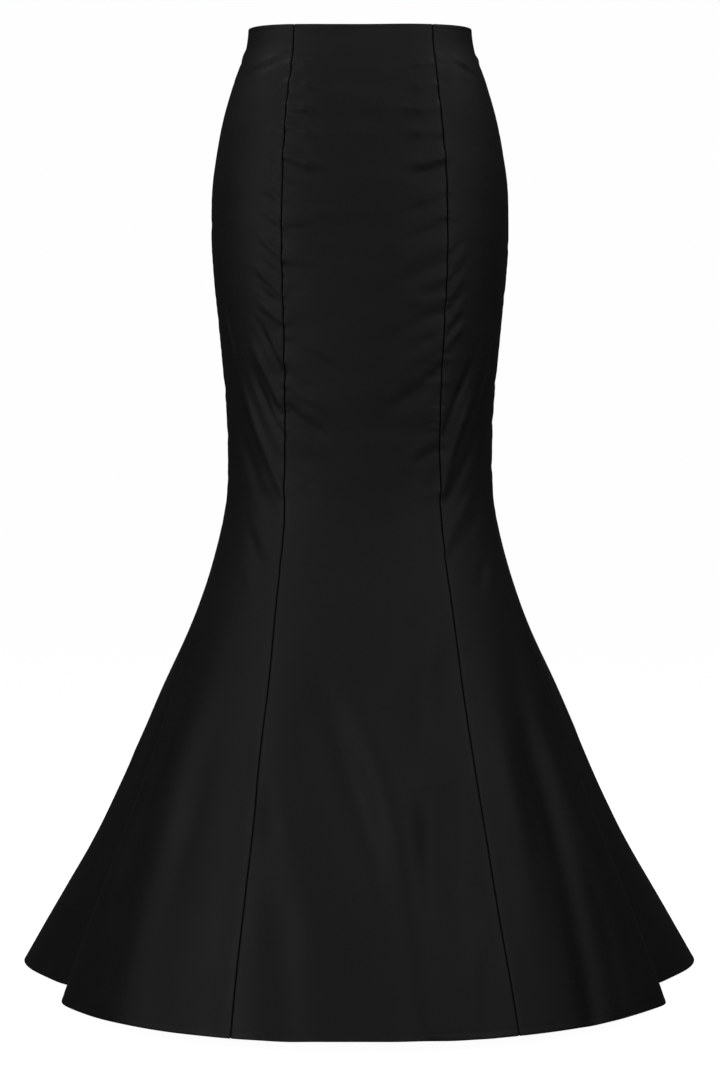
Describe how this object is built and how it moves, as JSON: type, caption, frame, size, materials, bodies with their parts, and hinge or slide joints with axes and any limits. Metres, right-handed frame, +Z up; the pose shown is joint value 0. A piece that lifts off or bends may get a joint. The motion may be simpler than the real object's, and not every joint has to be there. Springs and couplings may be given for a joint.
{
  "type": "mermaid fishtail skirt",
  "caption": "Long black sateen skirt, fitted to the knee and flared below it in soft flutes, with princess seams and a concealed back zip.",
  "frame": {"origin": "centre of the waist opening at the height of the side seams' tops, where the wearer holds the skirt", "axes": "+Z up out of the waist, -Y out of the centre front, +X to the right of someone looking at the front"},
  "size_m": [0.8063, 0.6887, 1.0816],
  "materials": {
    "black_sateen": "firm cotton sateen with a little stretch, fine weave, soft dull sheen",
    "zip_tape": "closely woven polyester tape, matte",
    "zip_coil": "moulded nylon coil, slightly shiny",
    "black_metal": "die-cast zinc with baked black enamel, semi-gloss"
  },
  "bodies": {
    "skirt": {"centre_front": "black_sateen", "side_front_right": "black_sateen", "side_back_right": "black_sateen", "centre_back_right": "black_sateen", "centre_back_left": "black_sateen", "side_back_left": "black_sateen", "side_front_left": "black_sateen", "zip_tape_left": "zip_tape", "zip_tape_right": "zip_tape", "zip_coil": "zip_coil", "zip_slider": "black_metal"},
    "pull_tab": {"zip_pull_tab": "black_metal"}
  },
  "joints": [
    {"name": "pull_tab_swing", "type": "hinge", "parent": "skirt", "child": "pull_tab", "pos_m": [0, 0.0951, -0.0143], "axis": [1, 0, 0], "range_deg": [0, 165]}
  ]
}
